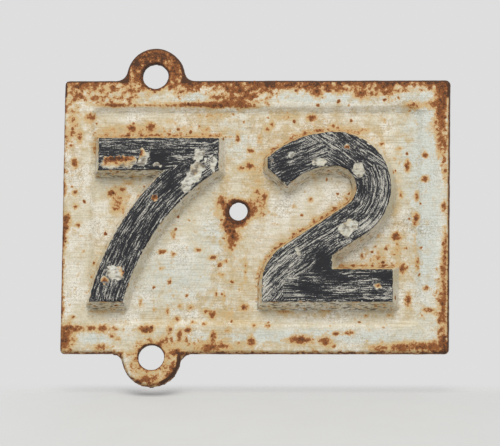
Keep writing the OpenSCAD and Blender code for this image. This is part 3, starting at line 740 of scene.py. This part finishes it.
def sheetOver(key, outline, seed):
    # the painted sheet as a grid cut where a distance field passes zero: its points, with their distances
    # from the edge and from the nearest chip, and its faces
    step = blackPaint["gridMm"]
    low, high = outline.reshape(-1, 2).min(0) - 1.5, outline.reshape(-1, 2).max(0) + 1.5
    xs, zs = np.arange(low[0], high[0], step), np.arange(low[1], high[1], step)
    gridX, gridZ = np.meshgrid(xs, zs, indexing="ij")
    points = np.stack([gridX.ravel(), gridZ.ravel()], 1)
    rag = np.array([noise.fractal(Vector((px * 0.3, pz * 0.3, seed)), 0.7, 2.2, 4) for px, pz in points])
    drift = np.array([[noise.noise(Vector((px * 0.2, pz * 0.2, seed + layer))) for layer in (57, 91)]
                      for px, pz in points])
    flake = np.array([noise.noise(Vector((px * 0.42, pz * 0.42, seed + 31))) for px, pz in points])
    rim, chips = splitOutline(outline)
    gap, _, inside = nearestEdge(points, rim)
    signed = np.where(inside, gap, -gap) + blackPaint["outMm"]
    flaked = np.maximum(0, flake - 0.4) * blackPaint["flakeDepthMm"]
    flaked = flaked * fading(signed, blackPaint["flakeMm"])
    value = signed + blackPaint["ragMm"] * rag - flaked
    moved = points + blackPaint["chipDriftMm"] * drift
    gap, _, inside = nearestEdge(moved, chips)
    bare = np.where(inside, -gap, gap) + blackPaint["chipInMm"]
    for middleX, middleZ, halfX, halfZ in smallChips[key]:
        share = np.hypot((moved[:, 0] - middleX) / halfX, (moved[:, 1] - middleZ) / halfZ)
        bare = np.minimum(bare, (share - 1) * min(halfX, halfZ))
    bare = (bare + blackPaint["chipRagMm"] * rag).reshape(gridX.shape)
    value = np.minimum(value.reshape(gridX.shape), bare)
    solid = value > 0
    vertices, faces, corner, between = [], [], {}, {}

    def cornerAt(i, j):
        if (i, j) not in corner:
            corner[i, j] = len(vertices)
            vertices.append((xs[i], zs[j], value[i, j], bare[i, j]))
        return corner[i, j]

    def crossingAt(a, b):
        first, last = min(a, b), max(a, b)
        if (first, last) not in between:
            t = min(0.92, max(0.08, value[first] / (value[first] - value[last])))
            (i0, j0), (i1, j1) = first, last
            x, z = xs[i0] + t * (xs[i1] - xs[i0]), zs[j0] + t * (zs[j1] - zs[j0])
            between[first, last] = len(vertices)
            vertices.append((x, z, 0.0, bare[first] + t * (bare[last] - bare[first])))
        return between[first, last]

    touched = solid[:-1, :-1] | solid[1:, :-1] | solid[1:, 1:] | solid[:-1, 1:]
    for i, j in zip(*np.nonzero(touched)):
        around = [(i, j), (i + 1, j), (i + 1, j + 1), (i, j + 1)]
        ring = []
        for a, b in zip(around, around[1:] + around[:1]):
            if solid[a]:
                ring.append(cornerAt(*a))
            if solid[a] != solid[b]:
                ring.append(crossingAt(a, b))
        if len(ring) > 2:
            faces.append(ring)
    return np.array(vertices), faces


def makePaintFilm(pieceName, key, outline, tree, finish, seed):
    points, faces = sheetOver(key, outline, seed)
    x, z, fromEdge, fromChip = points.T
    height = blackPaint["topMm"] - 0.42 * np.clip(1 - fromEdge / 0.9, 0, 1) ** 2  # it rolls over at its edges
    mesh = bpy.data.meshes.new(pieceName)
    mesh.from_pydata([fromPlate(*place) for place in zip(x, z, height)], [], faces)
    thicker, thinner = (patchField(x, z, patches[key]) for patches in (darkPatches, wornPatches))
    writeFields(mesh, {
        "solid": thicker - 0.5 * thinner, "edge": np.clip(fromEdge, 0, 4), "chip": np.clip(fromChip, 0, 4)})

    # each face is brushed along one stroke, and 1 in its map is 100 mm
    middles = np.array([points[face, :2].mean(0) for face in faces])
    _, _, chosen = brushCoordinates(middles, brushLines[key])
    stroke = np.repeat(chosen, [len(face) for face in faces])
    owner = np.zeros(len(mesh.loops), int)
    mesh.loops.foreach_get("vertex_index", owner)
    brushed = np.zeros((len(mesh.loops), 2))
    for index, line in enumerate(brushLines[key]):
        u, v, _ = brushCoordinates(points[:, :2], [line])
        mine = stroke == index
        brushed[mine, 0] = u[owner[mine]] / 100 + 3 * index
        brushed[mine, 1] = v[owner[mine]] / 100 + 0.7 * index
    mesh.uv_layers.new(name="brushing").data.foreach_set("uv", brushed.astype(np.float32).ravel())

    piece = bpy.data.objects.new(pieceName, mesh)
    scene.collection.objects.link(piece)
    addCastSkin(piece, tree, finish)
    thick = piece.modifiers.new("coat", "SOLIDIFY")
    thick.thickness, thick.offset = blackPaint["thickMm"] / 1000, -1
    settledMesh(piece, pieceName)
    print("paint film", pieceName, len(piece.data.polygons), "faces")
    return piece


def makeBlackPaint():
    material, add, _, cloud = startMaterial("brushedBlackEnamel", blackPaint["clouds"])
    solid, edge, chip = (add("Attribute", attribute_name=name, take="Fac")
                         for name in ("solid", "edge", "chip"))

    # bristle streaks 0.7 to 1.4 mm apart and 6 to 25 mm long, which sway as the hand did
    along = add("UVMap", uv_map="brushing")
    sway = add("Mapping", {0: along, "Scale": (7.0, 11.0, 1.0)})
    sway = add("TexNoise", {"Vector": sway, "Scale": 1.0, "Detail": 2.0}, take=1)
    sway = add("VectorMath", {0: sway, 1: (0.0, 0.03, 0.0)}, operation="MULTIPLY")
    along = add("VectorMath", {0: along, 1: sway}, operation="ADD")
    strokes = {}
    for name, (length, pitch, detail, roughness, distortion) in blackPaint["strokes"].items():
        drawn = add("Mapping", {0: along, "Scale": (100 / length, 100 / pitch, 1.0)})
        strokes[name] = add("TexNoise", {
            "Vector": drawn, "Scale": 1.0, "Detail": detail, "Roughness": roughness,
            "Distortion": distortion})
    wear = weightedSum(add, (strokes["hair"], 1.0), (cloud["lot"], 0.2), (strokes["dash"], 0.5),
                       (cloud["grit"], 0.32), (solid, -0.2))
    colour, _ = layCoat(add, linearColour(blackPaint["dark"]), solid, blackPaint["solid"], ramp="LINEAR")
    colour, _ = layCoat(add, colour, wear, blackPaint["mid"])

    # the white coat shows between the bristles, but less where the edge was cut in with a full brush
    start, full, most = blackPaint["open"]
    between = {0: wear, 1: start, 2: full, 4: most}
    between = add("MapRange", between, interpolation_type="SMOOTHSTEP")
    cutIn = {0: edge, 1: 0.25, 2: 0.8, 3: 0.2}
    cutIn = add("MapRange", cutIn, interpolation_type="SMOOTHSTEP")
    between = add("Math", {0: between, 1: cutIn}, operation="MULTIPLY")
    colour, _ = layCoat(add, colour, between, blackPaint["streak"], ramp="LINEAR")

    # round a chip the coat is scuffed thin for a millimetre, in crumbs
    scuffed = weightedSum(add, (chip, 1.0), (cloud["crumbs"], -3.2))
    colour, _ = layCoat(add, colour, scuffed, blackPaint["scuff"])
    bump = add("Bump", {"Strength": 0.7, "Distance": 0.0002, "Height": wear}, invert=True)
    rough = {0: wear, 1: 0.7, 2: 1.4, 3: blackPaint["roughness"], 4: blackPaint["wornRoughness"]}
    rough = add("MapRange", rough)
    shader = add("BsdfPrincipled", {
        "Base Color": colour, "Roughness": rough, "Specular IOR Level": 0.28, "Normal": bump})
    add("OutputMaterial", {"Surface": shader})
    return material


# Scale: blisters of rust that stand on the iron where the coat has gone
rustScale = {
    "perSquareMetre": 52000.0, "smallestMm": 0.35, "largestMm": 1.15, "flatness": 0.34, "seed": 21,
    "crumpleMm": 0.7142857, "crumpleDepthMm": 0.6,
    "light": "#8F5228", "brown": ("#643619", 0.38, 0.56, 1.0), "dark": ("#341D14", 0.5, 0.7, 0.8),
    "roughness": 0.92, "clouds": {"bloom": (2.38095, 5.0, 0.7, 0.0), "crumb": (0.454545, 3.0, 0.7, 0.0)},
}


def makeRust():
    # dull, crumbly oxide: orange bloom of 2 mm over brown and near black
    material, add, _, cloud = startMaterial("flakingIronRust", rustScale["clouds"])
    colour, _ = layCoat(add, linearColour(rustScale["light"]), cloud["bloom"], rustScale["brown"])
    colour, _ = layCoat(add, colour, cloud["crumb"], rustScale["dark"], ramp="LINEAR")
    bump = add("Bump", {"Strength": 0.8, "Distance": 0.0003, "Height": cloud["crumb"]})
    shader = add("BsdfPrincipled", {
        "Base Color": colour, "Roughness": rustScale["roughness"], "Normal": bump})
    add("OutputMaterial", {"Surface": shader})
    return material


def makeScaleTree():
    tree = newGeometryTree("rustScale", [
        ("Per square metre", "NodeSocketFloat", 50000.0), ("Smallest", "NodeSocketFloat", 0.0004),
        ("Largest", "NodeSocketFloat", 0.001), ("Flatness", "NodeSocketFloat", 0.34),
        ("Seed", "NodeSocketInt", 21), ("Finish", "NodeSocketMaterial", None)])
    add = partial(addNode, tree)
    given = add("NodeGroupInput").node.outputs
    rust = add("GeometryNodeInputNamedAttribute", {"Name": "rust"}, data_type="FLOAT")
    heavy = add("MapRange", {0: rust, 1: 0.62, 2: 1.0}, interpolation_type="SMOOTHSTEP")
    density = add("Math", {0: heavy, 1: given["Per square metre"]}, operation="MULTIPLY")
    facing = add("SeparateXYZ", {0: add("GeometryNodeInputNormal")}, take="Y")
    front = add("FunctionNodeCompare", {0: facing, 1: -0.7}, data_type="FLOAT", operation="LESS_THAN")
    scatter = {"Mesh": given["Geometry"], "Selection": front, "Density": density, "Seed": given["Seed"]}
    scatter = add("GeometryNodeDistributePointsOnFaces", scatter).node.outputs

    # each blister is a flattened ball, stretched, turned and crumpled a little
    ball = add("GeometryNodeMeshIcoSphere", {"Radius": 1.0, "Subdivisions": 2})
    flat = add("CombineXYZ", {0: 1.0, 1: 1.0, 2: given["Flatness"]})
    blister = add("GeometryNodeTransform", {"Geometry": ball, "Scale": flat})
    size = add("FunctionNodeRandomValue", {
        2: given["Smallest"], 3: given["Largest"], "Seed": given["Seed"]}, take=1, data_type="FLOAT")
    stretch = add("FunctionNodeRandomValue", {
        0: (0.7, 0.7, 0.8), 1: (1.5, 1.1, 1.1), "Seed": 5}, data_type="FLOAT_VECTOR")
    spin = add("FunctionNodeRandomValue", {
        0: (0.0, 0.0, 0.0), 1: (0.0, 0.0, 6.283), "Seed": 9}, data_type="FLOAT_VECTOR")
    sized = add("VectorMath", {0: stretch, "Scale": size}, operation="SCALE")
    turned = add("FunctionNodeRotateRotation", {0: scatter["Rotation"], 1: spin}, rotation_space="LOCAL")
    placed = add("GeometryNodeInstanceOnPoints", {
        "Points": scatter["Points"], "Instance": blister, "Rotation": turned, "Scale": sized})
    solid = add("GeometryNodeRealizeInstances", {"Geometry": placed})
    place = add("GeometryNodeInputPosition")
    crumple = {"Vector": place, "Scale": 1000 / rustScale["crumpleMm"], "Detail": 2.0}
    crumple = add("TexNoise", crumple, take=1)
    crumple = add("VectorMath", {0: crumple, 1: (0.5, 0.5, 0.5)}, operation="SUBTRACT")
    crumple = {0: crumple, "Scale": rustScale["crumpleDepthMm"] / 1000}
    crumple = add("VectorMath", crumple, operation="SCALE")
    moved = add("GeometryNodeSetPosition", {"Geometry": solid, "Offset": crumple})
    smooth = add("GeometryNodeSetShadeSmooth", {"Geometry": moved, "Shade Smooth": True})
    coated = add("GeometryNodeSetMaterial", {"Geometry": smooth, "Material": given["Finish"]})
    add("NodeGroupOutput", {0: coated})
    return tree


def makeRustScale(carrier, finish):
    piece = bpy.data.objects.new("plate_rust_scale", carrier.data.copy())
    scene.collection.objects.link(piece)
    grow = piece.modifiers.new("rustScale", "NODES")
    grow.node_group = makeScaleTree()
    for label, value in (
            ("Per square metre", rustScale["perSquareMetre"]), ("Smallest", rustScale["smallestMm"] / 1000),
            ("Largest", rustScale["largestMm"] / 1000), ("Flatness", rustScale["flatness"]),
            ("Seed", rustScale["seed"]), ("Finish", finish)):
        setModifierInput(grow, label, value)
    mesh = settledMesh(piece, "plate_rust_scale")
    low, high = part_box("backplate")
    keepInside(mesh, low, high)
    print("rust scale", len(mesh.polygons), "faces")
    return piece


# Camera: a long lens 5 m off, 12 degrees below the plate's square view, as the photograph was taken
cameraView = {
    "pitch": 12.0, "yaw": 3.695, "roll": 0.731, "distance": 5.0, "target": (0.00902, 0.0, -0.00857),
    "focalPixels": 6374.0, "framePixels": 500, "filmMm": 36.0,
}


def makeCamera():
    pitch, yaw, roll = (math.radians(cameraView[key]) for key in ("pitch", "yaw", "roll"))
    back = Vector((math.sin(yaw) * math.cos(pitch), -math.cos(yaw) * math.cos(pitch), -math.sin(pitch)))
    right = (-back).cross(Vector((0, 0, 1))).normalized()
    up = right.cross(-back)
    across = right * math.cos(roll) + up * math.sin(roll)
    upward = up * math.cos(roll) - right * math.sin(roll)
    camera = bpy.data.objects.new("camera", bpy.data.cameras.new("camera"))
    scene.collection.objects.link(camera)
    place = Vector(cameraView["target"]) + back * cameraView["distance"]
    camera.matrix_world = Matrix.Translation(place) @ Matrix((across, upward, back)).transposed().to_4x4()
    camera.data.sensor_width = cameraView["filmMm"]
    camera.data.lens = cameraView["focalPixels"] / cameraView["framePixels"] * cameraView["filmMm"]
    camera.data.clip_end = 30.0
    scene.camera = camera
    return across, upward, back


# Studio: one large soft lamp up to the left, an even grey-white surround and a short pale table
studio = {
    "surround": 0.61, "surroundTint": "#F6F9FF", "backdrop": "#DEDEDE",
    "lampTint": "#FFF9F0", "lampWatts": 37.0, "lampSize": 1.5, "lampDistance": 2.2,
    "lampFrom": (-0.06, 0.84, 0.6),
    "table": "#CDCFCF", "tableGrain": ("#CACBCA", 0.0, 1.0, 1.0), "tableLean": 26.0,
    "tableGap": 0.0065, "tableWide": (-0.55, 0.57), "tableDeep": (-0.42, 0.05), "tableMiddle": 0.05,
    "fadeSides": (0.13, 0.32), "fadeBack": (-0.004, 0.035), "fadeFront": (-0.38, -0.22),
    "clouds": {"grain": (33.3333, 3.0, 0.5, 0.0)},
}


def makeLight(across, upward, back):
    scene.world = bpy.data.worlds.new("studio")
    scene.world.use_nodes = True
    tree = scene.world.node_tree
    tree.nodes.clear()
    add = partial(addNode, tree)
    ray = add("LightPath").node.outputs
    seen = ray["Is Camera Ray"]
    for other in ("Is Glossy Ray", "Is Transmission Ray"):
        seen = add("Math", {0: seen, 1: ray[other]}, operation="MAXIMUM")
    tint, backdrop = linearColour(studio["surroundTint"]), linearColour(studio["backdrop"])
    around = add("Background", {"Color": tint, "Strength": studio["surround"]})
    behind = add("Background", {"Color": backdrop, "Strength": 1.0})
    either = add("MixShader", {0: seen, 1: around, 2: behind})
    add("OutputWorld", {"Surface": either})

    lamp = bpy.data.objects.new("softbox", bpy.data.lights.new("softbox", "AREA"))
    scene.collection.objects.link(lamp)
    lamp.data.shape, lamp.data.size, lamp.data.energy = "SQUARE", studio["lampSize"], studio["lampWatts"]
    lamp.data.color = linearColour(studio["lampTint"])[:3]
    a, b, c = studio["lampFrom"]
    way = (across * a + upward * b + back * c).normalized()
    lamp.location = way * studio["lampDistance"]
    lamp.rotation_euler = (-way).to_track_quat("-Z", "Y").to_euler()


def makeTableTop():
    # pale paper that fades out to the sides, behind and in front, so that no edge of the table shows
    material, add, spot, cloud = startMaterial("paleTableTop", studio["clouds"])
    place = add("SeparateXYZ", {0: spot}).node.outputs
    side = add("Math", {0: place["X"], 1: studio["tableMiddle"]}, operation="SUBTRACT")
    side = add("Math", {0: side}, operation="ABSOLUTE")
    under = add("NewGeometry", take="Backfacing")  # open from below, to hide nothing
    fade = add("Math", {0: 1.0, 1: under}, operation="SUBTRACT")
    for distance, key, last in (
            (side, "fadeSides", 0.0), (place["Y"], "fadeBack", 0.0), (place["Y"], "fadeFront", 1.0)):
        start, end = studio[key]
        near = {0: distance, 1: start, 2: end, 3: 1.0 - last, 4: last}
        near = add("MapRange", near, interpolation_type="SMOOTHSTEP")
        fade = add("Math", {0: fade, 1: near}, operation="MULTIPLY")
    tone, _ = layCoat(add, linearColour(studio["table"]), cloud["grain"], studio["tableGrain"], ramp="LINEAR")
    paper = add("BsdfDiffuse", {"Color": tone})
    clear = add("BsdfTransparent")
    mixed = add("MixShader", {0: fade, 1: clear, 2: paper})
    add("OutputMaterial", {"Surface": mixed})
    return material


def makeTable():
    lean = math.radians(studio["tableLean"])
    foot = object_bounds()[0].z - studio["tableGap"]  # for a soft shadow: only the worn lug touches
    columns, rows = 28, 20
    xs, ys = np.linspace(*studio["tableWide"], columns + 1), np.linspace(*studio["tableDeep"], rows + 1)
    corners = [(x, y * math.cos(lean), foot + y * math.sin(lean)) for y in ys for x in xs]
    across = columns + 1
    quads = [(first, first + 1, first + across + 1, first + across)
             for first in (row * across + column for row in range(rows) for column in range(columns))]
    mesh = bpy.data.meshes.new("table")
    mesh.from_pydata(corners, [], quads)
    mesh.materials.append(makeTableTop())
    table = bpy.data.objects.new("table", mesh)
    scene.collection.objects.link(table)


scene.view_settings.view_transform = "Standard"
cameraAxes = makeCamera()
print("camera ready")

skinTree = makeCastSkin()
white, black, rustFinish = makeWhitePaint(), makeBlackPaint(), makeRust()
outlines = {key: faceOutline("numeral_" + key + "_face_paint") for key in ("7", "2")}
print("outlines", {key: len(value) for key, value in outlines.items()})

plate = makeCasting("backplate", "cast_plate", castIron["plateVoxelMm"], 0.0, skinTree, white)
wearPlate(plate, outlines)
made = [(plate, "backplate", "aged_white_paint")]
for key, seed in (("7", 3.0), ("2", 11.0)):
    numeral = "numeral_" + key
    body = makeCasting(
        numeral, "cast_" + numeral, castIron["numeralVoxelMm"], castIron["bedMm"], skinTree, white)
    wearNumeral(body, key, outlines[key])
    made.append((body, numeral, "aged_white_paint"))
    film = makePaintFilm("black_paint_" + key, key, outlines[key], skinTree, black, seed)
    made.append((film, numeral + "_face_paint", "worn_black_paint"))
scale = makeRustScale(plate, rustFinish)

for piece, node, slotName in made:
    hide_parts(node)
    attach(piece, "root")
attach(scale, "root")
print("pieces", [piece.name for piece, _, _ in made] + [scale.name])

makeLight(*cameraAxes)
makeTable()
print("studio ready")
